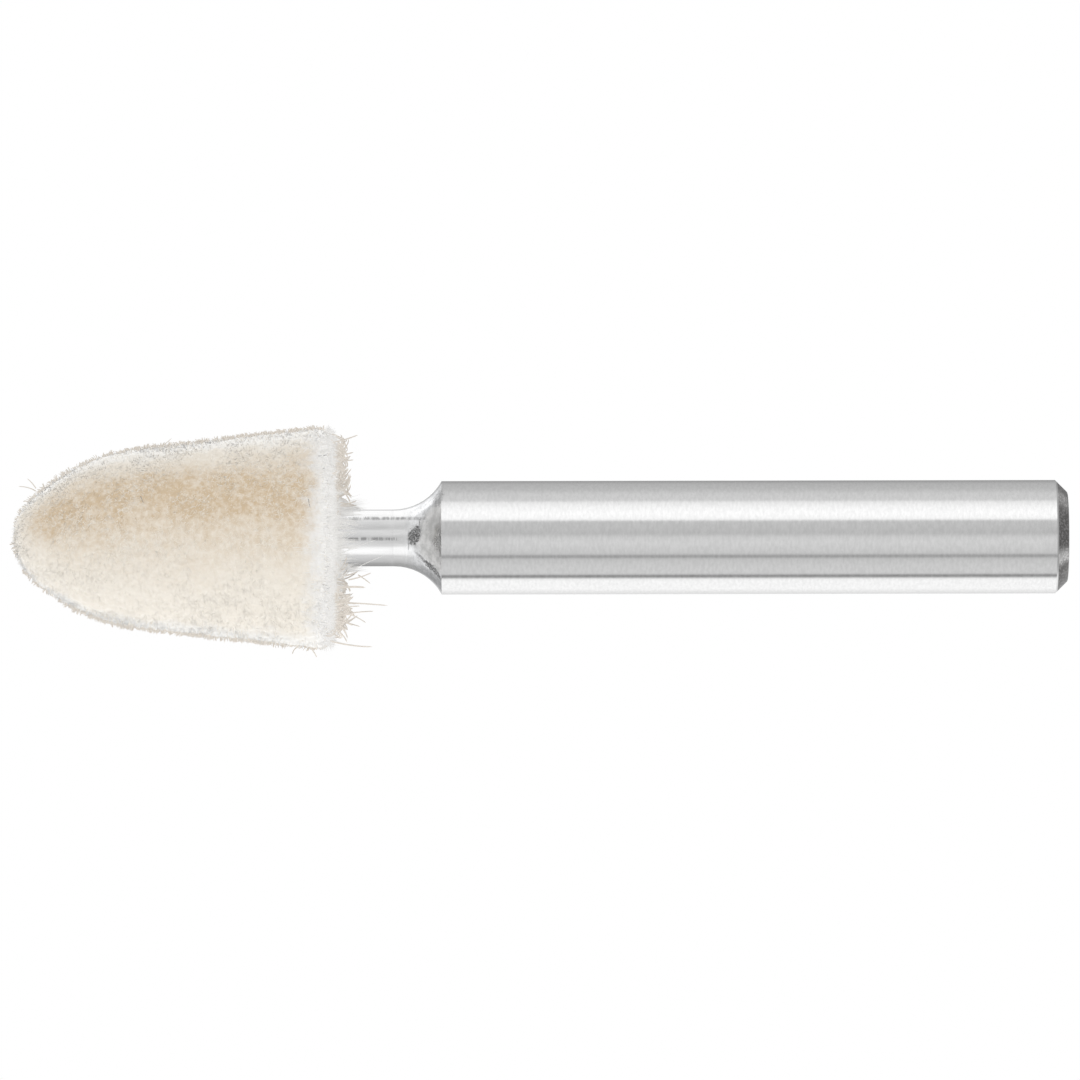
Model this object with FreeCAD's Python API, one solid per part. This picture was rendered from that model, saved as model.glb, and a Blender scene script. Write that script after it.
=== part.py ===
import FreeCAD, Part
import math
import os

# Felt polishing point: a tapered, round-nosed body of pressed wool felt, glued on the knurled
# stem of a one-piece turned steel shank. The whole tool turns as one in a collet.
#
# Millimetres. The tool's axis is X. The origin is on the axis at the shank's shoulder, where
# the flare of the neck reaches the full diameter of the shank. The felt is at -X, and the
# shank's free end is at +X. Each outline is drawn above the axis, in the XZ plane, and turned
# about X.

# Steel shank: the plain length that the collet grips, from the shoulder to the end face.
SHANK_DIAMETER = 6.0
SHANK_LENGTH = 33.1
END_CHAMFER = 0.65
END_CORNER_RADIUS = 0.15

# Neck between the shoulder and the felt. Its flare is a plain arc that ends in a crisp shoulder.
NECK_DIAMETER = 3.0
FLARE_RADIUS = 2.9

# Felt body. Its widest diameter is where the taper would meet the back face.
FELT_LENGTH = 16.8
FELT_DIAMETER = 11.8
FELT_TAPER_DEG = 6.4
FELT_NOSE_RADIUS = 2.75
FELT_SIDE_RADIUS = 10.2
FELT_RIM_RADIUS = 0.6
FELT_BACK_TO_SHANK_END = 39.0

# Blind hole in the felt, with a drilled cone at its bottom.
BORE_DIAMETER = 3.4
BORE_DEPTH = 12.0
DRILL_POINT_DEG = 118.0

# Stem: the end of the neck that is inside the felt, with a straight knurl that carries the
# torque and ring grooves that stop the felt from sliding off.
STEM_LENGTH = 11.5
STEM_CHAMFER = 0.3
KNURL_TEETH = 24
KNURL_DEPTH = 0.14
KNURL_INSET = 1.2
RING_GROOVES = 4
RING_WIDTH = 0.5
RING_DEPTH = 0.25

# The glue fills the hole around the stem, and stops a little below the felt's back face.
GLUE_RECESS = 0.3

AXIS_POINT = FreeCAD.Vector(0, 0, 0)
AXIS = FreeCAD.Vector(1, 0, 0)
SHANK_END_X = SHANK_LENGTH
FELT_BACK_X = SHANK_END_X - FELT_BACK_TO_SHANK_END
FELT_TIP_X = FELT_BACK_X - FELT_LENGTH
STEM_TIP_X = FELT_BACK_X - STEM_LENGTH
NECK_RADIUS = NECK_DIAMETER / 2
SHANK_RADIUS = SHANK_DIAMETER / 2
BORE_RADIUS = BORE_DIAMETER / 2


def at(x, r):
    """The point of an outline at x along the axis and at distance r from it."""
    return FreeCAD.Vector(x, 0, r)


def line(start, end):
    return Part.LineSegment(start, end).toShape()


def arc(start, centre, end):
    """The shorter arc from start to end about centre."""
    middle = start + end - centre - centre
    middle.normalize()
    through = centre + middle * (start - centre).Length
    return Part.Arc(start, through, end).toShape()


def polyline(points):
    return [line(a, b) for a, b in zip(points, points[1:])]


def turned(edges):
    """The solid that a closed outline sweeps about the axis."""
    face = Part.Face(Part.Wire(edges))
    solid = face.revolve(AXIS_POINT, AXIS, 360)
    if solid.Volume < 0:
        solid.reverse()
    return solid


def corner_round(before, corner, after, radius):
    """The two tangent points and the centre of a round of this radius at a corner."""
    back = (before - corner).normalize()
    onward = (after - corner).normalize()
    half_angle = back.getAngle(onward) / 2
    reach = radius / math.tan(half_angle)
    towards_centre = (back + onward).normalize()
    centre = corner + towards_centre * (radius / math.sin(half_angle))
    return corner + back * reach, centre, corner + onward * reach


def stem_outline():
    """The outline's points from the stem's tip to the felt's back face, with the ring grooves."""
    knurl_start = STEM_TIP_X + KNURL_INSET
    knurl_length = STEM_LENGTH - 2 * KNURL_INSET
    points = [
        at(STEM_TIP_X, 0),
        at(STEM_TIP_X, NECK_RADIUS - STEM_CHAMFER),
        at(STEM_TIP_X + STEM_CHAMFER, NECK_RADIUS),
    ]
    for ring in range(RING_GROOVES):
        middle = knurl_start + knurl_length * (ring + 0.5) / RING_GROOVES
        left, right = middle - RING_WIDTH / 2, middle + RING_WIDTH / 2
        points += [
            at(left, NECK_RADIUS),
            at(left, NECK_RADIUS - RING_DEPTH),
            at(right, NECK_RADIUS - RING_DEPTH),
            at(right, NECK_RADIUS),
        ]
    return points


def shank_blank():
    """The turned shank before knurling: stem, neck, flare, gripped length and chamfered end."""
    flare_centre_r = NECK_RADIUS + FLARE_RADIUS
    flare_reach = math.sqrt(FLARE_RADIUS**2 - (flare_centre_r - SHANK_RADIUS) ** 2)
    flare_start = at(-flare_reach, NECK_RADIUS)
    flare_centre = at(-flare_reach, flare_centre_r)
    shoulder = at(0, SHANK_RADIUS)
    chamfer_start = at(SHANK_END_X - END_CHAMFER, SHANK_RADIUS)
    chamfer_end = at(SHANK_END_X, SHANK_RADIUS - END_CHAMFER)
    end_centre = at(SHANK_END_X, 0)
    leave, centre, arrive = corner_round(
        chamfer_start, chamfer_end, end_centre, END_CORNER_RADIUS
    )
    edges = polyline([*stem_outline(), flare_start])
    edges.append(arc(flare_start, flare_centre, shoulder))
    edges += polyline([shoulder, chamfer_start, leave])
    edges.append(arc(leave, centre, arrive))
    edges += polyline([arrive, end_centre, at(STEM_TIP_X, 0)])
    return turned(edges)


def knurl_cutter(tooth):
    """A long V-shaped bar that cuts one groove of the straight knurl."""
    overcut = KNURL_DEPTH
    half_width = KNURL_DEPTH + overcut
    start_x = STEM_TIP_X + KNURL_INSET
    root = FreeCAD.Vector(start_x, 0, NECK_RADIUS - KNURL_DEPTH)
    left = FreeCAD.Vector(start_x, -half_width, NECK_RADIUS + overcut)
    right = FreeCAD.Vector(start_x, half_width, NECK_RADIUS + overcut)
    face = Part.Face(Part.makePolygon([root, left, right, root]))
    bar = face.extrude(AXIS * (STEM_LENGTH - 2 * KNURL_INSET))
    bar.rotate(AXIS_POINT, AXIS, tooth * 360 / KNURL_TEETH)
    return bar


def steel_shank():
    return shank_blank().cut([knurl_cutter(tooth) for tooth in range(KNURL_TEETH)])


def bore_filling(mouth_x):
    """A plug that fills the felt's blind hole from mouth_x to the tip of its drilled cone."""
    bottom_x = FELT_BACK_X - BORE_DEPTH
    cone = BORE_RADIUS / math.tan(math.radians(DRILL_POINT_DEG / 2))
    points = [
        at(bottom_x - cone, 0),
        at(bottom_x, BORE_RADIUS),
        at(mouth_x, BORE_RADIUS),
        at(mouth_x, 0),
        at(bottom_x - cone, 0),
    ]
    return turned(polyline(points))


def felt_side_arc(nose_centre, back_edge, along):
    """Start, centre and end of the arc that touches the nose's arc and the straight taper."""
    inward = FreeCAD.Vector(along.z, 0, -along.x)
    offset = back_edge + inward * FELT_SIDE_RADIUS - nose_centre
    reach = offset.dot(along)
    centres_apart = FELT_SIDE_RADIUS - FELT_NOSE_RADIUS
    taper_length = reach - math.sqrt(reach**2 - offset.Length**2 + centres_apart**2)
    end = back_edge - along * taper_length
    centre = end + inward * FELT_SIDE_RADIUS
    away = (nose_centre - centre).normalize()
    return nose_centre + away * FELT_NOSE_RADIUS, centre, end


def felt_body():
    """Round nose, long side arc, straight taper and rounded back rim, with the blind hole."""
    taper = math.radians(FELT_TAPER_DEG)
    along = FreeCAD.Vector(math.cos(taper), 0, math.sin(taper))
    tip = at(FELT_TIP_X, 0)
    nose_centre = at(FELT_TIP_X + FELT_NOSE_RADIUS, 0)
    back_edge = at(FELT_BACK_X, FELT_DIAMETER / 2)
    back_centre = at(FELT_BACK_X, 0)
    side_start, side_centre, side_end = felt_side_arc(nose_centre, back_edge, along)
    rim_start, rim_centre, rim_end = corner_round(
        side_end, back_edge, back_centre, FELT_RIM_RADIUS
    )
    edges = [
        arc(tip, nose_centre, side_start),
        arc(side_start, side_centre, side_end),
        line(side_end, rim_start),
        arc(rim_start, rim_centre, rim_end),
        line(rim_end, back_centre),
        line(back_centre, tip),
    ]
    return turned(edges).cut(bore_filling(FELT_BACK_X))


def glue_bond(shank):
    """The cured glue between the felt's hole and the stem, which it follows into every groove."""
    return bore_filling(FELT_BACK_X - GLUE_RECESS).cut(shank)


def export(name, shape):
    if not shape.isValid() or len(shape.Solids) != 1:
        raise ValueError(f"{name} has to be one valid solid")
    solid = shape.Solids[0]
    solid.exportStep(f"parts/{name}.step")
    box = solid.optimalBoundingBox(False)
    print(
        f"{name}: X {box.XMin:.2f} to {box.XMax:.2f}, diameter {box.ZLength:.2f},"
        f" volume {solid.Volume:.1f} mm3"
    )


def main():
    os.makedirs("parts", exist_ok=True)
    shank = steel_shank()
    export("steel_shank", shank)
    export("felt_body", felt_body())
    export("glue_bond", glue_bond(shank))


main()
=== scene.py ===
import math
from dataclasses import dataclass

import bpy
import numpy as np
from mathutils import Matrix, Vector, noise


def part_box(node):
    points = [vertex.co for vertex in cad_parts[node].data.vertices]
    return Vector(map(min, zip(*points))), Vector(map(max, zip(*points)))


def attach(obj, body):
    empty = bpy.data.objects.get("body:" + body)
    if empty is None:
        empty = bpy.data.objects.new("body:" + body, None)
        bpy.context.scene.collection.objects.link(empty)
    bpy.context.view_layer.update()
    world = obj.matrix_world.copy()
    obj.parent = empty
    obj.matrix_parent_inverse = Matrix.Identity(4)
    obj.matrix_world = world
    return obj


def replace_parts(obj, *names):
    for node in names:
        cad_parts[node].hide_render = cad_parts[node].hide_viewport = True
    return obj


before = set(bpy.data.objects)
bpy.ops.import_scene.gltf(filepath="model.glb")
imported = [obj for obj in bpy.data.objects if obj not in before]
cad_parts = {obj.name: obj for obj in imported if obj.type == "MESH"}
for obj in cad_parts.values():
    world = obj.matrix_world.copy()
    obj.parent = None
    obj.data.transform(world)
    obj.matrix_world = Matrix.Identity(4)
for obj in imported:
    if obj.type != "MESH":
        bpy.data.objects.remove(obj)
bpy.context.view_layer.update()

# Felt polishing point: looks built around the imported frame. The tool's axis is X, with the felt
# at -X and the shank's free end at +X. Angles around the axis count from the viewer's side (-Y)
# upwards to +Z. Sizes named here are in millimetres unless a name says otherwise.

MM = 0.001
FELT_LOW, FELT_HIGH = (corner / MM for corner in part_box("felt_body"))
_, SHANK_HIGH = (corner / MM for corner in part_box("steel_shank"))
GLUE_LOW, GLUE_HIGH = (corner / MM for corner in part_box("glue_bond"))
FELT_BACK_X = FELT_HIGH.x
SHANK_END_X = SHANK_HIGH.x
GLUE_RADIUS = GLUE_HIGH.z

# Camera: a long lens, square to the axis, framed a little wider than the tool.
LENS = 378.0
SENSOR = 36.0
FRAME_WIDTH = 57.14
CAMERA_X = (FELT_LOW.x + SHANK_END_X) / 2
CAMERA_Z = -0.123
CAMERA_ROLL_DEG = 0.11

# Floor: far enough below that the main view never meets it.
FLOOR_DROP = 40.0
FLOOR_RADIUS = 230.0

# Felt surface mesh: its outline's points, its rings and segments, how far its corners are
# softened, and how far it stays below the plain shape to leave room for the nap.
OUTLINE_POINTS = 400
OUTLINE_RINGS = 200
BACK_RINGS = 36
BORE_RINGS = 6
SEGMENTS = 360
SOFTENING = 0.5
NAP_ROOM = 0.08
# How far in from the back face the hole's wall starts, and how far from the hole's end it stops.
WALL_START, WALL_STOP = 0.4, 1.0

SEED = 7
AXIAL = np.array([1.0, 0.0, 0.0])
WHITE = (1.0, 1.0, 1.0)


# --- Node helpers ---------------------------------------------------------------------------


class Nodes:
    """Adds nodes to one tree and links them. A plain number or colour goes into the socket."""

    def __init__(self, tree):
        self.tree = tree

    def add(self, kind, output=0, inputs=None, **settings):
        node = self.tree.nodes.new(kind)
        for name, value in settings.items():
            setattr(node, name, value)
        for key, value in (inputs or {}).items():
            self.feed(node.inputs[key], value)
        return node if output is None else node.outputs[output]

    def feed(self, socket, value):
        if isinstance(value, bpy.types.NodeSocket):
            self.tree.links.new(value, socket)
        elif isinstance(value, tuple) and len(value) == 3 and socket.type == "RGBA":
            socket.default_value = (*value, 1.0)
        else:
            socket.default_value = value

    def math(self, operation, a, b=0.0, c=0.0, clamp=False):
        return self.add(
            "ShaderNodeMath", 0, {0: a, 1: b, 2: c}, operation=operation, use_clamp=clamp
        )

    def step(self, value, low, high):
        """0 below low, 1 above high, smooth between them. Low may be above high."""
        return self.add(
            "ShaderNodeMapRange",
            0,
            {"Value": value, "From Min": low, "From Max": high},
            interpolation_type="SMOOTHSTEP",
        )

    def mix(self, amount, first, second, blend="MIX"):
        return self.add(
            "ShaderNodeMix",
            2,
            {0: amount, 6: first, 7: second},
            data_type="RGBA",
            blend_type=blend,
        )

    def noise(self, vector, scale, detail=3.0, roughness=0.5):
        inputs = {"Vector": vector, "Scale": scale, "Detail": detail, "Roughness": roughness}
        return self.add("ShaderNodeTexNoise", 0, inputs)

    def stretched(self, vector, x, y, z):
        """The vector with each component multiplied."""
        return self.add(
            "ShaderNodeVectorMath", 0, {0: vector, 1: (x, y, z)}, operation="MULTIPLY"
        )

    def bump(self, height, strength, distance):
        """The normal of a surface with this height on it. The distance is in mm."""
        inputs = {"Height": height, "Strength": strength, "Distance": distance * MM}
        return self.add("ShaderNodeBump", 0, inputs)

    def ramp(self, value, stops):
        """A grey ramp through the stops, each a place and a level."""
        node = self.add("ShaderNodeValToRGB", None, {"Fac": value})
        elements = node.color_ramp.elements
        while len(elements) < len(stops):
            elements.new(0.5)
        for element, (place, level) in zip(elements, stops):
            element.position = place
            element.color = (level, level, level, 1.0)
        return node.outputs["Color"]


def empty_tree(owner):
    """The node helper of a material or a world, with nothing in its tree yet."""
    owner.use_nodes = True
    owner.node_tree.nodes.clear()
    return Nodes(owner.node_tree)


def new_material(name):
    """A material with one Principled shader, its node helper and that shader's node."""
    material = bpy.data.materials.new(name)
    nodes = empty_tree(material)
    shader = nodes.add("ShaderNodeBsdfPrincipled", None)
    nodes.add("ShaderNodeOutputMaterial", None, {"Surface": shader.outputs[0]})
    return material, nodes, shader


def place_mm(nodes):
    """The shaded point in the row frame, in millimetres."""
    coordinates = nodes.add("ShaderNodeTexCoord", "Object")
    return nodes.add(
        "ShaderNodeVectorMath", 0, {0: coordinates, "Scale": 1 / MM}, operation="SCALE"
    )


def split(nodes, vector):
    node = nodes.add("ShaderNodeSeparateXYZ", None, {0: vector})
    return node.outputs["X"], node.outputs["Y"], node.outputs["Z"]


def angle_around(nodes, y, z):
    """The angle around the axis in radians: 0 on the viewer's side, positive above."""
    return nodes.math("ARCTAN2", z, nodes.math("MULTIPLY", y, -1.0))


def turn_around(nodes, angle):
    """The angle as a share of a whole turn, from 0 to 1 as it goes from -180 to 180 degrees."""
    return nodes.math("MULTIPLY_ADD", angle, 0.5 / math.pi, 0.5)


def distance_from_axis(nodes, y, z):
    squares = nodes.math("ADD", nodes.math("POWER", y, 2.0), nodes.math("POWER", z, 2.0))
    return nodes.math("SQRT", squares)


def ring_stops(levels, peak=1.0):
    """Ramp stops for levels given by their degrees around the axis, as shares of a peak."""
    return [((degrees + 180) / 360, level / peak) for degrees, level in levels]


# --- Felt colours ---------------------------------------------------------------------------

CREAM = (0.772, 0.728, 0.656)
TAN = (0.580, 0.460, 0.320)
RIM_WHITE = (0.755, 0.747, 0.735)
TAUPE = (0.660, 0.612, 0.555)
# Grey of the short dark hairs that are painted shadow between fibres.
SHADOW_GREY = (0.260, 0.260, 0.265)

# How stained the felt is around its axis: degrees, and share of the stain's colour.
STAIN = (
    (-180, 0.28), (-158, 0.42), (-132, 0.18), (-110, 0.02), (-36, 0.00), (-22, 0.12),
    (-8, 0.26), (2, 0.45), (11, 0.72), (20, 0.88), (30, 0.88), (39, 0.72),
    (47, 0.44), (56, 0.16), (66, 0.03), (96, 0.00), (128, 0.20), (152, 0.32), (180, 0.28),
)
# How far the stain wanders around the axis, in radians, and the nap's share of it.
STAIN_WANDER = 0.55
NAP_STAIN = 1.75
# The nose is clear of stain up to one radius, and stained in full from the other.
NOSE_CLEAR, NOSE_STAINED = 0.9, 2.9
# Painted highlight along the felt's top line, as a whiter colour, and painted shade along its
# bottom line, as a greyer colour. The heights at which each starts and is full are sines of the
# angle around the axis, and they wander, in radians.
TOP_PAINTED_HIGHLIGHT, BOTTOM_PAINTED_SHADE = (0.825, 0.808, 0.775), (0.705, 0.695, 0.670)
TOP_HIGHLIGHT_HEIGHTS, BOTTOM_SHADE_HEIGHTS = (0.84, 0.98), (-0.86, -0.98)
HIGHLIGHT_AND_SHADE_WANDER = 0.6
# Where the white of the back rim starts and where it is full, before its edge wanders.
RIM_START_X, RIM_FULL_X = FELT_BACK_X - 0.95, FELT_BACK_X + 0.60
# What the felt's, the nap's and the other fibres' darker flecks multiply their colour by.
FELT_SHADE = (0.955, 0.945, 0.925)
NAP_SHADE = (0.965, 0.955, 0.940)
FIBRE_SHADE = (0.940, 0.935, 0.925)


def felt_stain(nodes, place):
    """How stained the felt is, from 0 to about 1: a cloudy band along it, fading on the nose."""
    _, y, z = split(nodes, place)
    wander = nodes.noise(nodes.stretched(place, 0.6, 1.0, 1.0), 0.30, 3.0)
    angle = nodes.math("ADD", angle_around(nodes, y, z), -STAIN_WANDER / 2)
    angle = nodes.math("MULTIPLY_ADD", wander, STAIN_WANDER, angle)
    turn = nodes.math("FRACT", turn_around(nodes, angle))
    band = nodes.ramp(turn, ring_stops(STAIN))
    clear = nodes.step(distance_from_axis(nodes, y, z), NOSE_CLEAR, NOSE_STAINED)
    clouds = nodes.math("MULTIPLY_ADD", nodes.noise(place, 0.85, 5.0, 0.65), 1.7, 0.12)
    return nodes.math("MULTIPLY", nodes.math("MULTIPLY", band, clear), clouds, clamp=True)


def felt_colour(nodes, place, share):
    """The felt's colour: cream, tan where stained, whiter at its back rim, with painted highlight
    on its top line and painted shade on its bottom line.
    """
    x, y, z = split(nodes, place)
    stain = nodes.math("MULTIPLY", felt_stain(nodes, place), share)
    stain_and_painted_light = nodes.mix(stain, CREAM, TAN)
    wander = nodes.noise(place, 0.5, 4.0, 0.6)
    wander = nodes.math(
        "MULTIPLY_ADD", wander, HIGHLIGHT_AND_SHADE_WANDER, -HIGHLIGHT_AND_SHADE_WANDER / 2
    )
    height = nodes.math("SINE", nodes.math("ADD", angle_around(nodes, y, z), wander))
    # Painted highlight along the top line, painted shade along the bottom line.
    stain_and_painted_light = nodes.mix(nodes.step(height, *TOP_HIGHLIGHT_HEIGHTS), stain_and_painted_light, TOP_PAINTED_HIGHLIGHT)
    stain_and_painted_light = nodes.mix(nodes.step(height, *BOTTOM_SHADE_HEIGHTS), stain_and_painted_light, BOTTOM_PAINTED_SHADE)
    onward = nodes.math("SUBTRACT", x, 0.4)
    edge = nodes.math("MULTIPLY_ADD", nodes.noise(place, 1.1, 5.0, 0.65), 2.4, onward)
    return nodes.mix(nodes.step(edge, RIM_START_X, RIM_FULL_X), stain_and_painted_light, RIM_WHITE)


def soft_gloss(shader):
    """Wool's soft bright edge: sheen, and hardly any gloss."""
    shader.inputs["Specular IOR Level"].default_value = 0.12
    shader.inputs["Sheen Weight"].default_value = 0.8
    shader.inputs["Sheen Roughness"].default_value = 0.45


def felt_surface_material():
    material, nodes, shader = new_material("felt_matted")
    place = place_mm(nodes)
    flecks = nodes.step(nodes.noise(place, 3.2, 4.0, 0.7), 0.3, 0.7)
    colour = felt_colour(nodes, place, nodes.math("MULTIPLY_ADD", flecks, -0.8, 1.45))
    dark = nodes.mix(1.0, colour, FELT_SHADE, "MULTIPLY")
    nodes.feed(shader.inputs["Base Color"], nodes.mix(flecks, dark, colour))
    matting = nodes.noise(place, 5.5, 5.0, 0.65)
    nodes.feed(shader.inputs["Roughness"], nodes.math("MULTIPLY_ADD", matting, 0.2, 0.75))
    nodes.feed(shader.inputs["Normal"], nodes.bump(matting, strength=0.35, distance=0.04))
    soft_gloss(shader)
    return material


def nap_material():
    """Short fibres that take up less of the stain than the felt under them, some hardly any."""
    material, nodes, shader = new_material("felt_nap")
    place = place_mm(nodes)
    chance = nodes.add("ShaderNodeAttribute", "Fac", attribute_name="chance")
    taken = nodes.step(nodes.noise(place, 3.0, 3.0, 0.6), 0.28, 0.62)
    share = nodes.math("MULTIPLY", taken, nodes.step(chance, 0.40, 0.65))
    colour = felt_colour(nodes, place, nodes.math("MULTIPLY", share, NAP_STAIN))
    dull = nodes.mix(1.0, colour, NAP_SHADE, "MULTIPLY")
    nodes.feed(shader.inputs["Base Color"], nodes.mix(chance, colour, dull))
    nodes.feed(shader.inputs["Roughness"], nodes.math("MULTIPLY_ADD", taken, 0.15, 0.7))
    soft_gloss(shader)
    return material


def fibre_material(name, root, tip, fade=(0.4, 1.0)):
    """Fibres with a little mottling, whose colour goes from root to tip along the fade."""
    material, nodes, shader = new_material(name)
    place = place_mm(nodes)
    along = nodes.add("ShaderNodeAttribute", "Fac", attribute_name="along")
    colour = nodes.mix(nodes.step(along, *fade), root, tip)
    tone = nodes.step(nodes.noise(place, 2.4, 2.0), 0.3, 0.7)
    dark = nodes.mix(1.0, colour, FIBRE_SHADE, "MULTIPLY")
    nodes.feed(shader.inputs["Base Color"], nodes.mix(tone, dark, colour))
    nodes.feed(shader.inputs["Roughness"], nodes.math("MULTIPLY_ADD", tone, 0.15, 0.65))
    shader.inputs["Specular IOR Level"].default_value = 0.12
    return material


# --- Felt surface ---------------------------------------------------------------------------


def felt_outline():
    """The felt's outside in the CAD, as points (x, distance from the axis), tip to back face."""
    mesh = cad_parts["felt_body"].data
    corners = np.empty(len(mesh.vertices) * 3)
    mesh.vertices.foreach_get("co", corners)
    x, y, z = corners.reshape(-1, 3).T / MM
    hull = []
    for point in sorted(zip(np.round(x, 4), np.round(np.hypot(y, z), 4))):
        while len(hull) > 1 and not bends_down(hull[-2], hull[-1], point):
            hull.pop()
        hull.append(point)
    return np.array(hull)


def bends_down(a, b, c):
    """Whether the path a, b, c turns towards the axis at b."""
    return (b[0] - a[0]) * (c[1] - b[1]) < (b[1] - a[1]) * (c[0] - b[0])


def evenly(points, count):
    """Count points at even distances along a path."""
    reach = np.concatenate([[0], np.cumsum(np.hypot(*np.diff(points, axis=0).T))])
    places = np.linspace(0, reach[-1], count)
    return np.stack([np.interp(places, reach, column) for column in points.T], axis=1)


class Skin:
    """The felt's skin as a turned outline, from the tip over the rim to the hole in the back."""

    def __init__(self):
        outline = felt_outline()
        outline = np.vstack([outline, [FELT_BACK_X, GLUE_RADIUS]])
        points = evenly(outline, OUTLINE_POINTS)
        reach = len(points) * SOFTENING / np.hypot(*np.diff(points, axis=0).T).sum()
        weights = np.hanning(2 * round(reach) + 3)
        weights /= weights.sum()
        half = len(weights) // 2
        mirrored = points[1 : half + 1][::-1] * (1, -1)
        beyond = points[-1] + (points[-1] - points[-2]) * np.arange(1, half + 1)[:, None]
        padded = np.vstack([mirrored, points, beyond])
        smooth = [np.convolve(column, weights, mode="valid") for column in padded.T]
        self.x, self.r = smooth
        self.r[0] = 0.0
        slope = np.gradient(np.array(smooth).T, axis=0)
        slope /= np.linalg.norm(slope, axis=1)[:, None]
        self.along_x, self.along_r = slope.T
        steps = np.hypot(np.diff(self.x), np.diff(self.r))
        self.reach = np.concatenate([[0], np.cumsum(steps)])
        self.length = self.reach[-1]
        self.rim = self.reach[np.argmax(self.r)]
        self.widest = self.r.max()

    def at(self, reach, angle, height=0.0):
        """Points above the skin, with the outward normal, the lengthwise and the round tangent."""
        x, r, ax, ar = (
            np.interp(reach, self.reach, column)
            for column in (self.x, self.r, self.along_x, self.along_r)
        )
        size = np.hypot(ax, ar)
        ax, ar = ax / size, ar / size
        out = np.stack([np.zeros_like(x), -np.cos(angle), np.sin(angle)], axis=-1)
        normal = out * ax[..., None] - AXIAL * ar[..., None]
        along = out * ar[..., None] + AXIAL * ax[..., None]
        around = np.cross(AXIAL, out)
        points = AXIAL * x[..., None] + out * r[..., None]
        points = points + normal * np.asarray(height)[..., None]
        return points, normal, along, around

    def scatter(self, random, count, density, spread):
        """Random places on the skin: reach, by area and a density, and angle.

        They lie within spread of the top line and the bottom line, in radians.
        """
        share = self.r * density(self.reach)
        total = np.cumsum(share)
        reach = np.interp(random.random(count) * total[-1], total, self.reach)
        line = np.where(random.random(count) < 0.5, math.pi / 2, -math.pi / 2)
        return reach, line + random.uniform(-spread, spread, count)


def relief(point):
    """How far the felt's surface stands off the plain shape, in mm: dents, lumps and matting."""
    p = Vector(point)
    dents = noise.noise(p * 0.45) * 0.09
    lumps = noise.noise(p * 1.3 + Vector((9, 2, 5))) * 0.06
    matting = noise.noise(p * 3.4) * 0.05
    return dents + lumps + matting


def felt_surface(skin):
    """The felt's closed skin with its relief and its blind hole."""
    rings = np.concatenate([
        np.linspace(0, skin.rim, OUTLINE_RINGS)[1:],
        np.linspace(skin.rim, skin.length, BACK_RINGS)[1:],
    ])
    angles = np.linspace(-math.pi, math.pi, SEGMENTS, endpoint=False)
    reach, angle = np.meshgrid(rings, angles, indexing="ij")
    plain, normal, _, _ = skin.at(reach, angle)
    heights = np.array([relief(point) for point in plain.reshape(-1, 3)]).reshape(reach.shape)
    points = plain + normal * (heights - NAP_ROOM)[..., None]
    bore_x = np.linspace(FELT_BACK_X - WALL_START, GLUE_LOW.x + WALL_STOP, BORE_RINGS)
    bore, _, _, _ = skin.at(np.full((BORE_RINGS, SEGMENTS), skin.length), angle[:BORE_RINGS])
    bore[..., 0] = bore_x[:, None]
    points = np.concatenate([points, bore]).reshape(-1, 3)
    tip = [FELT_LOW.x + NAP_ROOM, 0.0, 0.0]
    bottom = [GLUE_LOW.x, 0.0, 0.0]
    count = len(points)
    ring_count = count // SEGMENTS
    faces = []
    for ring in range(ring_count - 1):
        for segment in range(SEGMENTS):
            a = ring * SEGMENTS + segment
            b = ring * SEGMENTS + (segment + 1) % SEGMENTS
            faces.append((a, b, b + SEGMENTS, a + SEGMENTS))
    last = (ring_count - 1) * SEGMENTS
    for segment in range(SEGMENTS):
        following = (segment + 1) % SEGMENTS
        faces.append((following, segment, count))
        faces.append((last + segment, last + following, count + 1))
    vertices = np.vstack([points, [tip], [bottom]]) * MM
    return new_piece("felt_surface", vertices, faces, felt_surface_material())


def new_piece(name, vertices, faces, material):
    """A smooth mesh piece on the one body, with its material."""
    mesh = bpy.data.meshes.new(name)
    mesh.from_pydata(vertices.tolist(), [], faces)
    mesh.polygons.foreach_set("use_smooth", [True] * len(mesh.polygons))
    mesh.materials.append(material)
    piece = bpy.data.objects.new(name, mesh)
    bpy.context.scene.collection.objects.link(piece)
    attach(piece, "root")
    return piece


# --- Fibres ---------------------------------------------------------------------------------


@dataclass(frozen=True)
class Coat:
    """One kind of fibre. Sizes are in mm and angles in radians, and pairs are (least, most).

    turn is how far a strand bends, tilt how far it leans from the normal, and comb the bearing it
    leans to: 0 is along the skin, away from the tip. backwards pulls it towards the shank, gather
    is the scatter of a tuft's roots, depth is how deep they are, and spread is how far from the
    top and bottom lines they stand. A matted coat is lit as one surface.
    """

    count: int
    length: tuple
    width: tuple
    turn: tuple = (0.2, 1.0)
    tilt: float = 0.8
    tilt_spread: float = 0.2
    comb: float = 0.0
    comb_spread: float = 3.0
    backwards: float = 0.0
    tuft: int = 1
    gather: float = 0.0
    depth: float = 0.12
    rings: int = 3
    taper: float = 0.6
    matted: bool = False
    spread: float = math.pi / 2


# How far the normals that light a matted coat scatter.
SHADE_SCATTER = 0.18


def unit(vectors):
    return vectors / np.linalg.norm(vectors, axis=-1, keepdims=True)


def between(random, limits, shape):
    return random.uniform(limits[0], limits[1], shape)


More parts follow.
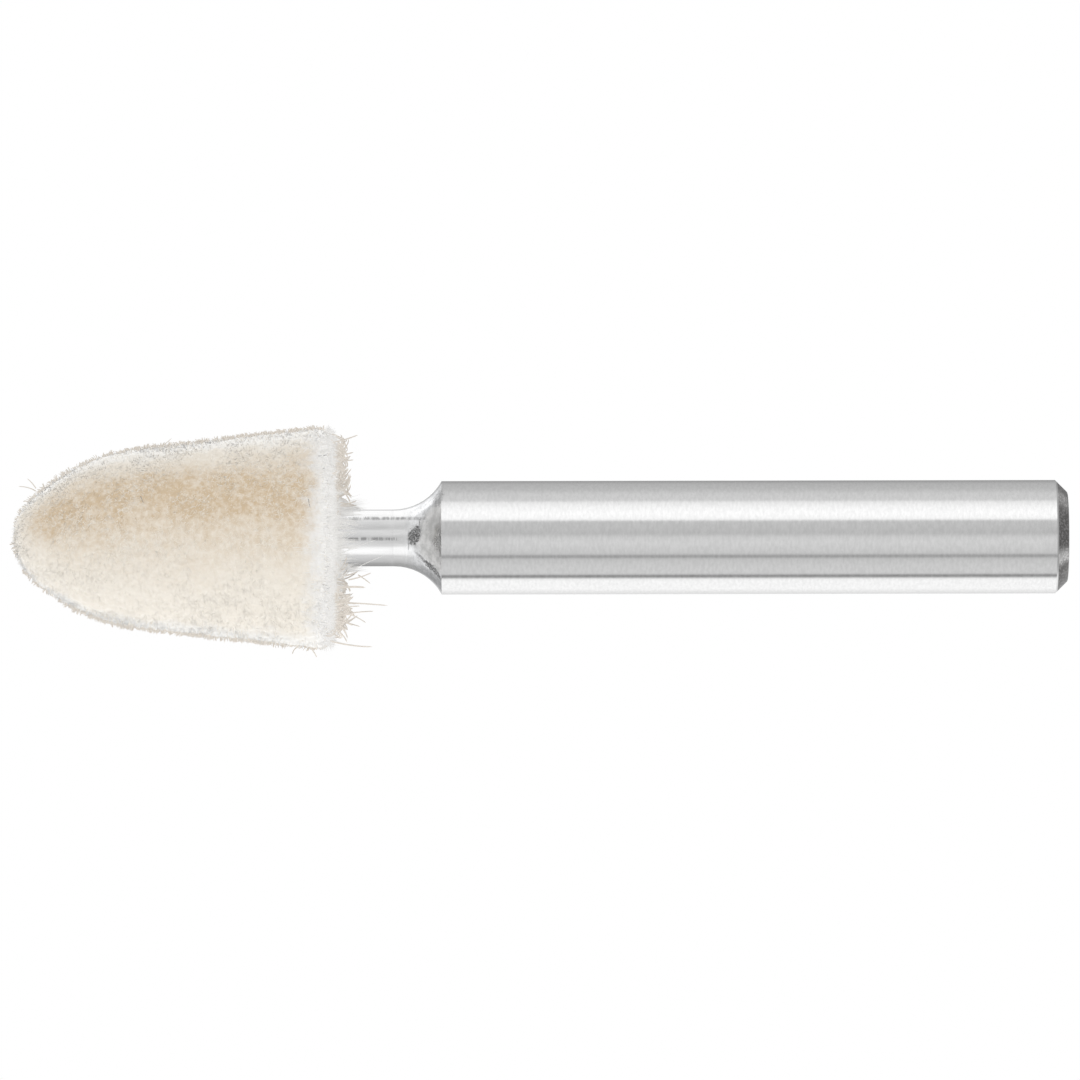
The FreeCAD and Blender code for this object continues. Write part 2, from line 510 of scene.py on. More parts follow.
def fibres(
    name, random, roots, headings, sides, turns, lengths, widths, shade, material, rings, taper
):
    """Closed three-sided strands. Each bends by its turn towards its side, and ends in a point.

    Where shade is given, it holds the normals that light them, so that they shade as one surface.
    """
    count = len(roots)
    share = np.linspace(0, 1, rings + 1)
    angle = turns[:, None] * share
    onward = share * np.sinc(angle / math.pi)
    sideways = share * np.sin(angle / 2) * np.sinc(angle / 2 / math.pi)
    path = headings[:, None] * onward[..., None] + sides[:, None] * sideways[..., None]
    path = roots[:, None] + path * lengths[:, None, None]
    run = unit(np.gradient(path, axis=1))
    first = unit(np.cross(run, unit(random.normal(size=(count, 1, 3)))))
    second = np.cross(run, first)
    half = widths[:, None] / 2 * (1 - taper * share[:-1])
    vertices = np.empty((count, 3 * rings + 1, 3))
    for corner in range(3):
        turn = corner * 2 * math.pi / 3
        offset = first[:, :-1] * math.cos(turn) + second[:, :-1] * math.sin(turn)
        vertices[:, corner : 3 * rings : 3] = path[:, :-1] + offset * half[..., None]
    vertices[:, -1] = path[:, -1]
    tip = 3 * rings
    quads = []
    for ring in range(rings - 1):
        for corner in range(3):
            a, b = 3 * ring + corner, 3 * ring + (corner + 1) % 3
            quads.append((a, b, b + 3, a + 3))
    ends = [(2, 1, 0)] + [(tip - 3 + c, tip - 3 + (c + 1) % 3, tip) for c in range(3)]
    starts = np.arange(count)[:, None, None] * (tip + 1)
    faces = (starts + np.array(quads)).reshape(-1, 4).tolist()
    faces += (starts + np.array(ends)).reshape(-1, 3).tolist()
    piece = new_piece(name, vertices.reshape(-1, 3) * MM, faces, material)
    if shade is None:
        piece.data.shade_flat()
    else:
        normals = np.repeat(shade, tip + 1, axis=0).tolist()
        piece.data.normals_split_custom_set_from_vertices(normals)
    piece.visible_shadow = False
    piece.visible_diffuse = False
    piece.visible_glossy = False
    levels = np.append(np.repeat(share[:-1], 3), 1.0)
    for attribute, values in (
        ("along", np.tile(levels, count)),
        ("chance", np.repeat(random.random(count), tip + 1)),
    ):
        data = piece.data.attributes.new(attribute, "FLOAT", "POINT").data
        data.foreach_set("value", values.astype(np.float32))


def grow(name, random, skin, density, coat, material):
    """A coat of fibres on the skin, alone or in tufts that lean and bend together."""
    tufts = coat.count // coat.tuft
    count = tufts * coat.tuft

    def shared(values, scatter):
        """One value for each tuft, the same for its fibres but for a little scatter."""
        values = np.repeat(values, coat.tuft, axis=0)
        return values + random.normal(0, scatter, values.shape) if coat.tuft > 1 else values

    reach, angle = skin.scatter(random, tufts, density, coat.spread)
    reach = shared(reach, coat.gather)
    angle = shared(angle, coat.gather / skin.widest)
    roots, normal, along, around = skin.at(reach, angle, -coat.depth)
    tilts = shared(random.normal(coat.tilt, coat.tilt_spread, tufts), 0.10)[:, None]
    bearing = shared(random.normal(coat.comb, coat.comb_spread, tufts), 0.15)[:, None]
    flat = along * np.cos(bearing) + around * np.sin(bearing)
    headings = unit(normal * np.cos(tilts) + flat * np.sin(tilts) + AXIAL * coat.backwards)
    sides = shared(unit(random.normal(size=(tufts, 3))), 0.15)
    sides = unit(np.cross(headings, sides))
    turns = shared(between(random, coat.turn, tufts), 0.15)
    lengths = shared(between(random, coat.length, tufts), 0.0) * random.uniform(0.8, 1.0, count)
    widths = between(random, coat.width, count)
    shade = None
    if coat.matted:
        shade = unit(normal + random.normal(0, SHADE_SCATTER, (count, 3)))
    fibres(
        name, random, roots, headings, sides, turns, lengths, widths, shade, material,
        coat.rings, coat.taper,
    )


NAP_PIECES = 3
NAP = Coat(
    17000, (0.22, 0.42), (0.024, 0.042), (0.3, 1.6), tilt=1.18, comb=math.pi / 2,
    comb_spread=0.8, rings=2, matted=True,
)
FUZZ = Coat(
    8000, (0.18, 0.32), (0.024, 0.040), (0.2, 1.2), tilt=0.45, tilt_spread=0.20, depth=0.10,
)
# The edge coat: taupe fibres on the top and bottom lines only, painted shade that darkens the
# felt's outline there.
EDGE_PAINTED_SHADE = Coat(
    2400, (0.20, 0.40), (0.045, 0.064), (0.4, 1.9), tilt=0.30, tilt_spread=0.45, tuft=3,
    gather=0.06, depth=0.10, rings=5, taper=0.3, spread=0.11,
)
WISPS = Coat(
    7800, (0.40, 0.90), (0.020, 0.034), (0.1, 0.6), tilt=1.1, comb_spread=0.40, backwards=1.0,
    tuft=6, gather=0.10, depth=0.14, rings=4,
)
MAT = Coat(
    3600, (0.35, 0.75), (0.030, 0.050), (0.2, 1.4), tilt=0.5, backwards=0.8, tuft=5,
    gather=0.08, rings=4,
)
LOOPS = Coat(
    480, (0.95, 1.85), (0.085, 0.115), (0.8, 3.9), tilt=0.50, tilt_spread=0.3, backwards=0.9,
    tuft=3, gather=0.16, depth=0.02, rings=10, taper=0.2, spread=0.62,
)
RUFF = Coat(
    2400, (0.45, 1.15), (0.028, 0.046), (0.1, 0.8), tilt=0.40, tilt_spread=0.25,
    backwards=0.5, tuft=6, gather=0.10, rings=4,
)
COLLAR = Coat(
    1300, (0.90, 2.40), (0.026, 0.046), (0.0, 0.25), tilt=0.26, tilt_spread=0.10,
    comb_spread=0.4, tuft=8, gather=0.07, rings=4,
)

# Where coats grow, in mm along the skin. From the rim towards the hole: where the edge ends, and
# where the mat and the loops start. Then how far the wisps fade out from the rim, and how far the
# ruff and the collar fade out from the hole.
EDGE_END, MAT_START, LOOPS_START = 0.40, 0.45, 1.15
WISPS_FADE = 0.9
RUFF_FADE, COLLAR_FADE = 1.3, 0.14


def bell(distance, fade):
    return np.exp(-((distance / fade) ** 2))


def felt_fibres(skin, random):
    """The felt's coats: nap, fuzz, a taupe edge of painted shade on the top and bottom lines, rim
    wisps, the back's mat and loops, ruff and collar.
    """

    def everywhere(reach):
        return np.ones_like(reach)

    def near_rim(reach):
        return np.where(reach < skin.rim, bell(skin.rim - reach, WISPS_FADE), 1.0)

    def on_back(reach):
        return (reach > skin.rim + MAT_START).astype(float)

    def inside_rim(reach):
        return (reach > skin.rim + LOOPS_START).astype(float)

    def before_back(reach):
        return (reach < skin.rim + EDGE_END).astype(float)

    def around_neck(reach):
        return bell(skin.length - reach, RUFF_FADE)

    def at_neck(reach):
        return bell(skin.length - reach, COLLAR_FADE)

    white = fibre_material("felt_wisps", RIM_WHITE, RIM_WHITE)
    pale = fibre_material("felt_fuzz", CREAM, CREAM)
    # The edge's taupe is painted shade along the outline.
    edge = fibre_material("felt_edge_painted_shade", TAUPE, TAUPE)
    rough = fibre_material("felt_rough", RIM_WHITE, TAUPE, fade=(0.15, 0.40))
    nap = nap_material()
    for part in range(NAP_PIECES):
        grow(f"felt_nap_{part + 1}", random, skin, everywhere, NAP, nap)
    grow("felt_fuzz", random, skin, everywhere, FUZZ, pale)
    grow("felt_edge_painted_shade", random, skin, before_back, EDGE_PAINTED_SHADE, edge)
    grow("felt_wisps", random, skin, near_rim, WISPS, white)
    grow("felt_back_mat", random, skin, on_back, MAT, white)
    grow("felt_back_loops", random, skin, inside_rim, LOOPS, rough)
    grow("felt_ruff", random, skin, around_neck, RUFF, white)
    grow("felt_collar", random, skin, at_neck, COLLAR, white)


STRAY_RINGS, STRAY_TAPER = 12, 0.35
# Stray hairs placed one by one, in mm: root, tip, how far the middle bows upwards, and width.
EDGE_STRAYS = (
    ((-21.45, -0.4, 2.52), (-22.36, -0.6, 2.76), 0.06, 0.07),
    ((-21.45, -0.3, 2.66), (-21.90, -0.4, 3.18), 0.03, 0.07),
    ((-14.95, -0.3, 4.78), (-14.27, -0.4, 5.29), -0.03, 0.07),
    ((-6.28, -0.5, 5.60), (-6.22, -0.5, 5.98), 0.0, 0.10),
    ((-6.20, -0.8, 5.60), (-5.15, -0.9, 5.24), 0.03, 0.09),
    ((-5.75, -1.2, 5.05), (-4.38, -1.4, 5.45), -0.04, 0.10),
    ((-5.60, -2.2, -2.63), (-4.00, -2.2, -2.60), 0.05, 0.16),
    ((-4.90, -1.8, -2.20), (-3.69, -1.9, -1.83), -0.04, 0.09),
    ((-4.40, -1.8, -1.95), (-3.75, -1.9, -2.41), 0.03, 0.09),
    ((-5.60, -2.6, -3.38), (-2.80, -2.7, -3.56), 0.02, 0.10),
    ((-5.70, -2.7, -3.65), (-4.27, -2.7, -3.58), 0.0, 0.10),
    ((-5.70, -2.4, -3.95), (-4.60, -2.5, -4.00), -0.03, 0.15),
    ((-4.95, -2.4, -3.98), (-3.56, -2.5, -3.86), 0.02, 0.09),
    ((-4.90, -2.4, -3.98), (-3.97, -2.5, -4.48), 0.03, 0.09),
    ((-5.30, -2.4, -3.98), (-4.85, -2.5, -4.44), 0.03, 0.09),
    ((-5.80, -2.2, -4.32), (-4.27, -2.2, -4.69), 0.04, 0.10),
    ((-5.80, -1.9, -4.58), (-5.23, -1.9, -4.85), 0.0, 0.09),
    ((-5.80, -1.6, -5.00), (-5.38, -1.6, -5.22), 0.0, 0.09),
    ((-5.90, -0.9, -5.42), (-3.64, -1.0, -5.74), -0.08, 0.11),
    ((-7.60, -0.4, -5.75), (-7.90, -0.4, -6.14), 0.06, 0.09),
    ((-6.90, -0.4, -5.80), (-6.60, -0.4, -6.30), 0.0, 0.09),
)
WHITE_STRAYS = (
    ((-5.60, -1.9, -0.95), (-3.40, -1.7, -0.08), 0.03, 0.045),
    ((-5.40, -1.7, -2.10), (-3.00, -1.5, -0.91), 0.06, 0.045),
)
# Short dark hairs at the back rim and on the front: painted shadows between fibres.
PAINTED_SHADOW_STRAYS = (
    ((-15.78, -4.32, 2.22), (-15.62, -4.42, 1.86), 0.0, 0.045),
    ((-6.95, -5.36, 2.05), (-6.82, -5.50, 1.45), 0.0, 0.040),
    ((-6.44, -4.15, 4.31), (-6.24, -4.15, 4.33), 0.0, 0.034),
    ((-6.17, -4.05, 4.34), (-5.98, -4.00, 4.38), 0.0, 0.055),
    ((-6.20, -4.70, 3.66), (-6.08, -4.66, 3.68), 0.0, 0.044),
    ((-6.04, -5.90, -1.52), (-5.84, -5.85, -1.48), 0.0, 0.026),
    ((-6.20, -5.70, -2.44), (-5.94, -5.65, -2.48), 0.0, 0.034),
    ((-5.98, -5.60, -2.66), (-5.80, -5.55, -2.58), 0.0, 0.028),
)


def strays(name, random, hairs, material):
    """Single long hairs from a root to a tip, each with a bow."""
    roots, tips = (np.array([hair[end] for hair in hairs]) for end in (0, 1))
    bows, widths = (np.array([hair[value] for hair in hairs]) for value in (2, 3))
    chord = tips - roots
    spans = np.linalg.norm(chord, axis=1)
    heading = unit(chord)
    upwards = unit(np.cross(np.cross(heading, (0.0, 0.0, 1.0)), heading))
    turns = 8 * bows / spans
    headings = heading * np.cos(turns / 2)[:, None] + upwards * np.sin(turns / 2)[:, None]
    lengths = spans / np.sinc(turns / 2 / math.pi)
    sides = unit(-upwards + heading * np.tan(turns / 2)[:, None])
    fibres(
        name, random, roots, headings, sides, turns, lengths, widths, None, material,
        STRAY_RINGS, STRAY_TAPER,
    )


# --- Steel ----------------------------------------------------------------------------------

STEEL_DARK, STEEL_LIGHT = (0.585, 0.585, 0.585), (0.645, 0.645, 0.645)
# The grey below darkens both the flare's dark patches and the neck's painted reflection lines.
MARK_AND_REFLECTION_GREY, MARK_COVER = (0.085, 0.085, 0.085), 0.95
# The steel's roughness, and what its grain, its flare, and its dull end and marks add to it.
POLISHED, GRAIN_ROUGHNESS, FLARE_ROUGHNESS, DULL_ROUGHNESS = 0.09, 0.08, 0.10, 0.24
SMUDGE_DARK, SMUDGE_LIGHT = (0.525, 0.530, 0.537), (0.735, 0.741, 0.752)
RAW_DARK, RAW_LIGHT = (0.170, 0.167, 0.165), (0.900, 0.895, 0.890)
GLUE_DARK, GLUE_LIGHT = (0.60, 0.54, 0.44), (0.76, 0.72, 0.64)
# The dull end starts on the chamfer. Its end face and its chamfer meet between two radii, and it
# has painted shade that darkens it below, between two heights.
RAW_START_X = SHANK_END_X - 0.565
FACE_EDGE = (2.25, 2.45)
RAW_PAINTED_SHADE, RAW_PAINTED_SHADE_Z = (0.66, 0.66, 0.66), (-1.5, -2.2)
# The flare, and where its turning marks and its smudges begin and are full.
FLARE_START_X, FLARE_END_X = -2.54, 0.0
TURNED_X = (FLARE_START_X + 0.4, FLARE_START_X + 0.7)
SMUDGED_X = (FLARE_START_X + 0.3, FLARE_START_X + 1.5)
# Half the width of a sharp change from one finish to the next.
SHARP = 0.02
# Where the end's chamfer is worn lighter: degrees around the axis, half width, and strength.
WORN_EDGE = ((48, 22, 0.42), (-23, 15, 1.00), (160, 30, 0.35), (-120, 20, 0.40))

# Painted reflection: dark dashed lines along the front of the neck, on the viewer's side only:
# height above the axis, start and end.
NECK_REFLECTION_LINES = ((1.03, -4.90, -1.04), (-0.05, -5.00, -2.40))
LINE_HALF_WIDTH, LINE_CORE = 0.13, 0.02
LINE_WOBBLE = 0.10
LINE_FADE = 0.3
LINE_STRENGTH = 0.62
# Dark speckled patches on the flare: x, degrees, half length, half width in degrees, skew in
# degrees for each millimetre, and strength. Fine flecks make up a share of each.
FLARE_PATCHES = (
    (-1.42, 5.0, 0.33, 15.0, 14.0, 1.0),
    (-0.50, -42.5, 0.46, 5.5, -8.0, 1.0),
    (-1.00, -34.0, 0.36, 2.6, -22.0, 0.7),
    (-0.17, 52.0, 0.26, 12.0, 0.0, 0.60),
    (-0.22, -6.0, 0.20, 7.0, 0.0, 0.30),
    (-1.74, -6.0, 0.035, 18.0, 0.0, 0.6),
    (-1.15, 25.0, 0.040, 11.0, 0.0, 0.7),
    (-0.06, -8.0, 0.06, 14.0, 0.0, 0.4),
)
FLECK_SHARE = 0.65


def window(nodes, value, low, high, edge):
    """1 from low to high, falling to 0 within edge outside them."""
    rise = nodes.step(value, low - edge, low)
    fall = nodes.step(value, high + edge, high)
    return nodes.math("MULTIPLY", rise, fall)


def neck_painted_reflections(nodes, place):
    """How dark the neck's painted reflection lines are, from 0 to 1: dashed, on the front, and a
    little crooked.
    """
    x, y, z = split(nodes, place)
    front = nodes.step(y, 0.05, -0.05)
    broken = nodes.noise(nodes.stretched(place, 5.0, 0.8, 0.8), 1.0, 2.0, 0.7)
    dashes = nodes.math("MULTIPLY", nodes.step(broken, 0.32, 0.60), front)
    crooked = nodes.math("MULTIPLY_ADD", nodes.noise(place, 1.4, 2.0, 0.5), LINE_WOBBLE, z)
    marks = 0.0
    for height, low, high in NECK_REFLECTION_LINES:
        off = nodes.math("SUBTRACT", crooked, height + LINE_WOBBLE / 2)
        off = nodes.math("ABSOLUTE", off)
        line = nodes.math("MULTIPLY", nodes.step(off, LINE_HALF_WIDTH, LINE_CORE), dashes)
        line = nodes.math("MULTIPLY", line, LINE_STRENGTH)
        line = nodes.math("MULTIPLY", line, window(nodes, x, low, high, LINE_FADE))
        marks = nodes.math("MAXIMUM", marks, line)
    return marks


def flare_marks(nodes, place):
    """How dark the flare's patches are, from 0 to 1: an even tone with fine flecks on it."""
    x, y, z = split(nodes, place)
    angle = angle_around(nodes, y, z)
    grit = nodes.math("MULTIPLY_ADD", nodes.noise(place, 15.0, 2.0, 0.6), 2.0, -0.5)
    ragged = nodes.math("MULTIPLY_ADD", nodes.noise(place, 6.0, 3.0, 0.6), 3.0, -1.5)
    marks = 0.0
    for middle, degrees, half_length, half_width, skew, strength in FLARE_PATCHES:
        onward = nodes.math("SUBTRACT", x, middle)
        lean = nodes.math("MULTIPLY_ADD", onward, -math.radians(skew), angle)
        off = nodes.math("SUBTRACT", lean, math.radians(degrees))
        off = nodes.math("DIVIDE", off, math.radians(half_width))
        onward = nodes.math("DIVIDE", onward, half_length)
        far = nodes.math("ADD", nodes.math("POWER", onward, 2.0), nodes.math("POWER", off, 2.0))
        patch = nodes.step(nodes.math("ADD", far, ragged), 2.2, 0.2)
        flecks = nodes.step(nodes.math("MULTIPLY_ADD", patch, 0.40, grit), 0.62, 1.00)
        tone = nodes.math("MULTIPLY", patch, 1 - FLECK_SHARE)
        flecks = nodes.math("MULTIPLY_ADD", flecks, FLECK_SHARE, tone)
        dense = nodes.math("MULTIPLY", patch, 1.6 * strength)
        dense = nodes.math("MINIMUM", dense, strength)
        marks = nodes.math("MAXIMUM", marks, nodes.math("MULTIPLY", flecks, dense))
    return marks


def raw_tone(nodes, place):
    """The dull chamfer and end face: mottled dark grey, with a worn edge, turned rings, and
    painted shade darkening it below.
    """
    _, y, z = split(nodes, place)
    angle = angle_around(nodes, y, z)
    radius = distance_from_axis(nodes, y, z)
    spots = nodes.step(nodes.noise(place, 9.0, 2.0, 0.7), 0.51, 0.60)
    worn = 0.0
    for degrees, half_width, strength in WORN_EDGE:
        off = nodes.math("ABSOLUTE", nodes.math("SUBTRACT", angle, math.radians(degrees)))
        near = nodes.step(off, math.radians(half_width), 0.0)
        worn = nodes.math("MAXIMUM", worn, nodes.math("MULTIPLY", near, strength))
    worn = nodes.math("MULTIPLY", worn, nodes.step(radius, *FACE_EDGE))
    worn = nodes.math("MULTIPLY", worn, nodes.math("ADD", spots, 0.7))
    rings = nodes.noise(nodes.add("ShaderNodeCombineXYZ", 0, {0: radius}), 7.0, 2.0, 0.7)
    on_face = nodes.step(radius, *reversed(FACE_EDGE))
    face = nodes.math("MULTIPLY", on_face, nodes.math("MULTIPLY", rings, 0.5))
    light = nodes.math("MAXIMUM", worn, face)
    light = nodes.math("MAXIMUM", nodes.math("MULTIPLY", spots, 0.24), light, clamp=True)
    tone = nodes.mix(light, RAW_DARK, RAW_LIGHT)
    # Painted shade: the dull end is darkened below.
    shaded = nodes.mix(1.0, tone, RAW_PAINTED_SHADE, "MULTIPLY")
    return nodes.mix(nodes.step(z, *RAW_PAINTED_SHADE_Z), tone, shaded)


def steel_material():
    """Ground steel: a fine grain round the shank, turning marks on the flare, painted dark
    reflection lines on the neck's front, a dark raw end.
    """
    material, nodes, shader = new_material("ground_steel")
    place = place_mm(nodes)
    x, _, _ = split(nodes, place)
    grain = nodes.noise(nodes.stretched(place, 7.0, 3.2, 3.2), 1.0, 2.0, 0.6)
    polish = nodes.noise(nodes.stretched(place, 0.5, 5.0, 5.0), 1.0, 3.0, 0.6)
    turning = nodes.noise(nodes.stretched(place, 6.0, 1.2, 1.2), 1.0, 4.0, 0.75)
    neck = nodes.step(x, *reversed(TURNED_X))
    before_shoulder = nodes.step(x, FLARE_END_X + SHARP, FLARE_END_X - SHARP)
    flare = nodes.math("MULTIPLY", nodes.step(x, *TURNED_X), before_shoulder)
    texture = nodes.add("ShaderNodeMix", 0, {0: neck, 2: grain, 3: polish})
    texture = nodes.add("ShaderNodeMix", 0, {0: flare, 2: texture, 3: turning})
    tone = nodes.mix(nodes.step(texture, 0.25, 0.75), STEEL_DARK, STEEL_LIGHT)
    smudges = nodes.math("MULTIPLY", turning, 0.35)
    smudges = nodes.math("MULTIPLY_ADD", nodes.noise(place, 2.6, 5.0, 0.75), 0.65, smudges)
    smudged = nodes.mix(nodes.step(smudges, 0.38, 0.62), SMUDGE_DARK, SMUDGE_LIGHT)
    tone = nodes.mix(nodes.math("MULTIPLY", flare, nodes.step(x, *SMUDGED_X)), tone, smudged)
    # The neck's dashed lines are painted reflection; the flare's patches are dark marks.
    marks = nodes.math("MAXIMUM", neck_painted_reflections(nodes, place), flare_marks(nodes, place))
    tone = nodes.mix(nodes.math("MULTIPLY", marks, MARK_COVER), tone, MARK_AND_REFLECTION_GREY)
    raw = nodes.step(x, RAW_START_X - SHARP, RAW_START_X + SHARP)
    nodes.feed(shader.inputs["Base Color"], nodes.mix(raw, tone, raw_tone(nodes, place)))
    rough = nodes.math("MULTIPLY_ADD", texture, GRAIN_ROUGHNESS, POLISHED)
    rough = nodes.math("MULTIPLY_ADD", flare, FLARE_ROUGHNESS, rough)
    dull = nodes.math("MAXIMUM", raw, marks)
    rough = nodes.math("MULTIPLY_ADD", dull, DULL_ROUGHNESS, rough)
    nodes.feed(shader.inputs["Roughness"], rough)
    waves = nodes.noise(nodes.stretched(place, 0.8, 0.5, 0.5), 1.2, 2.0)
    fine = nodes.add("ShaderNodeMix", 0, {0: flare, 2: texture, 3: 0.5})
    height = nodes.math("MULTIPLY_ADD", waves, 1.1, fine)
    nodes.feed(shader.inputs["Normal"], nodes.bump(height, strength=0.30, distance=0.003))
    shader.inputs["Metallic"].default_value = 1.0
    return material


def glue_material():
    material, nodes, shader = new_material("cured_glue")
    place = place_mm(nodes)
    clouds = nodes.noise(place, 1.1, 4.0)
    nodes.feed(shader.inputs["Base Color"], nodes.mix(clouds, GLUE_DARK, GLUE_LIGHT))
    nodes.feed(shader.inputs["Roughness"], nodes.math("MULTIPLY_ADD", clouds, 0.2, 0.15))
    return material


def dress(node, material):
    """Gives a CAD node its material."""
    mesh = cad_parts[node].data
    mesh.materials.clear()
    mesh.materials.append(material)


# --- Stage ----------------------------------------------------------------------------------

# The studio around the tool as seen in the steel: degrees around the axis, and brightness.
STUDIO = (
    (-180, 0.80), (-160, 0.98), (-145, 1.20), (-130, 1.46), (-100, 1.50), (-94, 1.40),
    (-91, 0.85), (-88, 0.38), (-84, 0.38), (-80, 0.98), (-60, 0.95), (-44, 0.86),
    (-41, 0.52), (-37, 0.52), (-34, 0.90), (-10, 1.02), (0, 0.96), (8, 0.76),
    (16, 0.80), (28, 0.83), (33, 0.80), (37, 1.50), (50, 1.60), (64, 1.48),
    (77, 1.28), (81, 0.98), (100, 0.94), (114, 0.78), (140, 0.66), (160, 0.42),
)
STUDIO_PEAK = 1.6
# The studio at the tool's two ends: where its panels fade out, as a share of the X direction, and
# the brightness there.
END_FADE = (0.62, 0.88)
FELT_END_LEVEL, SHANK_END_LEVEL = 0.85, 0.55
# The cards close around the neck, as seen in it: degrees around the axis, and brightness.
NECK_CARDS = (
    (-180, 0.42), (-155, 0.42), (-130, 0.56), (-107, 0.87), (-88, 0.98), (-76, 1.05), (-71, 1.45),
    (-60, 1.60), (-44, 1.60), (-38, 1.45), (-34, 1.17), (-31, 1.15), (-19, 1.01),
    (-6, 0.92), (6, 0.94), (14, 1.09), (30, 1.12), (36, 0.92), (43, 0.88),
    (57, 0.96), (71, 1.13), (88, 1.16), (94, 1.56), (140, 1.56), (152, 1.00), (180, 0.42),
)
NECK_RADIUS = 1.5
# The ring they stand in: its radius, its two ends, and how far its shank end fades out.
CARD_RADIUS = 7.0
CARD_START_X, CARD_END_X = FELT_BACK_X - 0.2, FLARE_START_X + 1.2
CARD_FADE = 1.6
# Soft lights on the felt that the steel doesn't show: name, place in mm, width in m, and watts.
SOFT_LIGHTS = (
    ("back_face", (200.0, 0.0, 0.0), 0.14, 0.16),
    ("top_edge", (-14.0, 130.0, 75.0), 0.10, 0.10),
)
FELT_CENTRE = Vector((-14.0, 0.0, 0.0))
FLOOR_DARK, FLOOR_LIGHT = (0.90, 0.90, 0.90), (0.93, 0.93, 0.93)


def studio():
    """A soft studio: the camera sees plain white, and panels of grey and white light the tool."""
    world = bpy.data.worlds.new("studio")
    bpy.context.scene.world = world
    nodes = empty_tree(world)
    direction = nodes.add("ShaderNodeTexCoord", "Generated")
    x, y, z = split(nodes, direction)
    panels = nodes.ramp(
        turn_around(nodes, angle_around(nodes, y, z)), ring_stops(STUDIO, STUDIO_PEAK)
    )
    for side, level in ((-1, FELT_END_LEVEL), (1, SHANK_END_LEVEL)):
        at_end = nodes.step(x, *(side * share for share in END_FADE))
        panels = nodes.mix(at_end, panels, (level / STUDIO_PEAK,) * 3)
    lit = nodes.add("ShaderNodeBackground", 0, {"Color": panels, "Strength": STUDIO_PEAK})
    white = nodes.add("ShaderNodeBackground", 0, {"Color": WHITE, "Strength": 1.0})
    seen = nodes.add("ShaderNodeLightPath", "Is Camera Ray")
    shader = nodes.add("ShaderNodeMixShader", 0, {0: seen, 1: lit, 2: white})
    nodes.add("ShaderNodeOutputWorld", None, {"Surface": shader})


def card_place(degrees):
    """Where round the ring a ray ends that leaves the neck in this direction, from 0 to 1."""
    direction = math.radians(degrees)
    aside = math.asin(NECK_RADIUS / CARD_RADIUS * math.sin(direction / 2))
    return (direction - aside + math.pi) / (2 * math.pi)


def neck_cards():
    """A ring of soft light cards around the neck that only the steel's gloss sees."""
    bpy.ops.mesh.primitive_cylinder_add(
        vertices=180,
        radius=CARD_RADIUS * MM,
        depth=(CARD_END_X - CARD_START_X) * MM,
        end_fill_type="NOTHING",
        location=((CARD_START_X + CARD_END_X) / 2 * MM, 0, 0),
        rotation=(0, math.radians(90), 0),
    )
    ring = bpy.context.object
    ring.name = "neck_cards"
    bpy.ops.object.transform_apply(location=True, rotation=True)
    material = bpy.data.materials.new("neck_cards")
    nodes = empty_tree(material)
    x, y, z = split(nodes, place_mm(nodes))
    stops = [(card_place(degrees), level / STUDIO_PEAK) for degrees, level in NECK_CARDS]
    cards = nodes.ramp(turn_around(nodes, angle_around(nodes, y, z)), stops)
    glow = nodes.add("ShaderNodeEmission", 0, {"Color": cards, "Strength": STUDIO_PEAK})
    clear = nodes.add("ShaderNodeBsdfTransparent")
    fade = nodes.step(x, CARD_END_X, CARD_END_X - CARD_FADE)
    shader = nodes.add("ShaderNodeMixShader", 0, {0: fade, 1: clear, 2: glow})
    nodes.add("ShaderNodeOutputMaterial", None, {"Surface": shader})
    ring.data.materials.append(material)
    ring.visible_camera = False
    ring.visible_diffuse = False
    ring.visible_shadow = False
    ring.visible_transmission = False


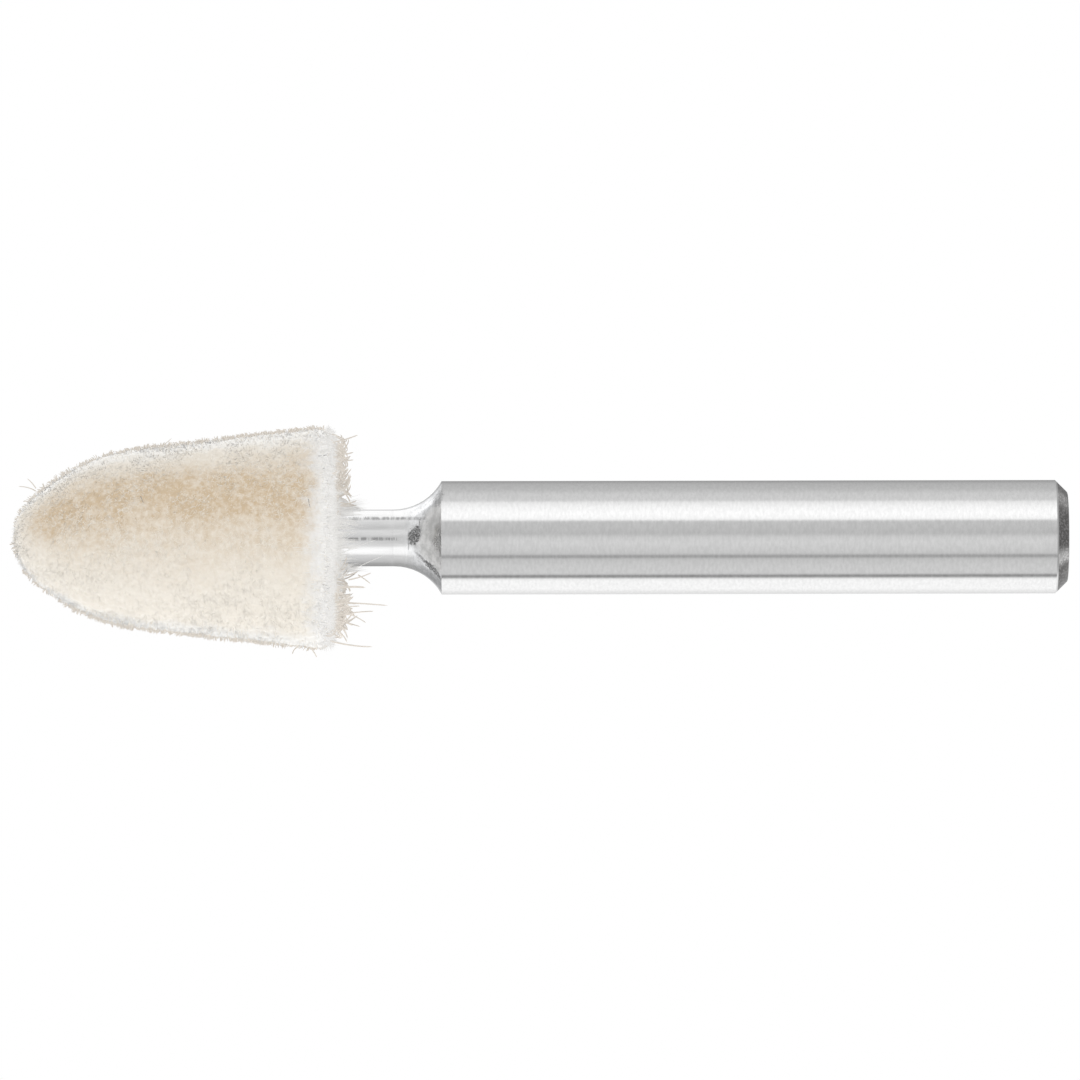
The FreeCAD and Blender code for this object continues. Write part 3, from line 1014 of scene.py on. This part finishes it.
def soft_light(name, place, size, watts):
    """A round soft light aimed at the felt: on its back face, or along its upper edge."""
    data = bpy.data.lights.new(name, "AREA")
    data.shape = "DISK"
    data.size = size
    data.energy = watts
    light = bpy.data.objects.new(name, data)
    light.location = Vector(place) * MM
    light.rotation_euler = (Vector(place) - FELT_CENTRE).to_track_quat("Z", "Y").to_euler()
    light.visible_camera = False
    light.visible_glossy = False
    bpy.context.scene.collection.objects.link(light)


def floor():
    """A plain pale floor below the tool. It isn't seen in the steel, where the panels show."""
    bpy.ops.mesh.primitive_circle_add(
        vertices=96,
        radius=FLOOR_RADIUS * MM,
        fill_type="NGON",
        location=(CAMERA_X * MM, 0, -FLOOR_DROP * MM),
    )
    disc = bpy.context.object
    disc.name = "pale_floor"
    material, nodes, shader = new_material("pale_floor")
    speckle = nodes.noise(place_mm(nodes), 0.4, 2.0)
    nodes.feed(shader.inputs["Base Color"], nodes.mix(speckle, FLOOR_DARK, FLOOR_LIGHT))
    shader.inputs["Roughness"].default_value = 0.9
    shader.inputs["Emission Color"].default_value = (*WHITE, 1.0)
    shader.inputs["Emission Strength"].default_value = 0.25
    disc.data.materials.append(material)
    disc.visible_glossy = False


def camera():
    data = bpy.data.cameras.new("camera")
    data.lens = LENS
    data.sensor_width = SENSOR
    data.clip_start, data.clip_end = 0.01, 10.0
    distance = FRAME_WIDTH * LENS / SENSOR
    viewer = bpy.data.objects.new("camera", data)
    viewer.location = (CAMERA_X * MM, -distance * MM, CAMERA_Z * MM)
    viewer.rotation_euler = (math.radians(90), math.radians(CAMERA_ROLL_DEG), 0)
    bpy.context.scene.collection.objects.link(viewer)
    bpy.context.scene.camera = viewer
    bpy.context.scene.view_settings.view_transform = "Standard"


def corners(box):
    return [list(corner) for corner in box]


camera()
studio()
floor()
neck_cards()
for light in SOFT_LIGHTS:
    soft_light(*light)
dress("steel_shank", steel_material())
dress("glue_bond", glue_material())
random = np.random.default_rng(SEED)
skin = Skin()
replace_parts(felt_surface(skin), "felt_body")
felt_fibres(skin, random)
strays("stray_hairs", random, EDGE_STRAYS, fibre_material("stray_taupe", TAUPE, TAUPE))
strays("white_hairs", random, WHITE_STRAYS, fibre_material("stray_white", RIM_WHITE, RIM_WHITE))
# The dark hairs are painted shadow between fibres.
strays("painted_shadow_hairs", random, PAINTED_SHADOW_STRAYS, fibre_material("stray_painted_shadow", SHADOW_GREY, SHADOW_GREY))
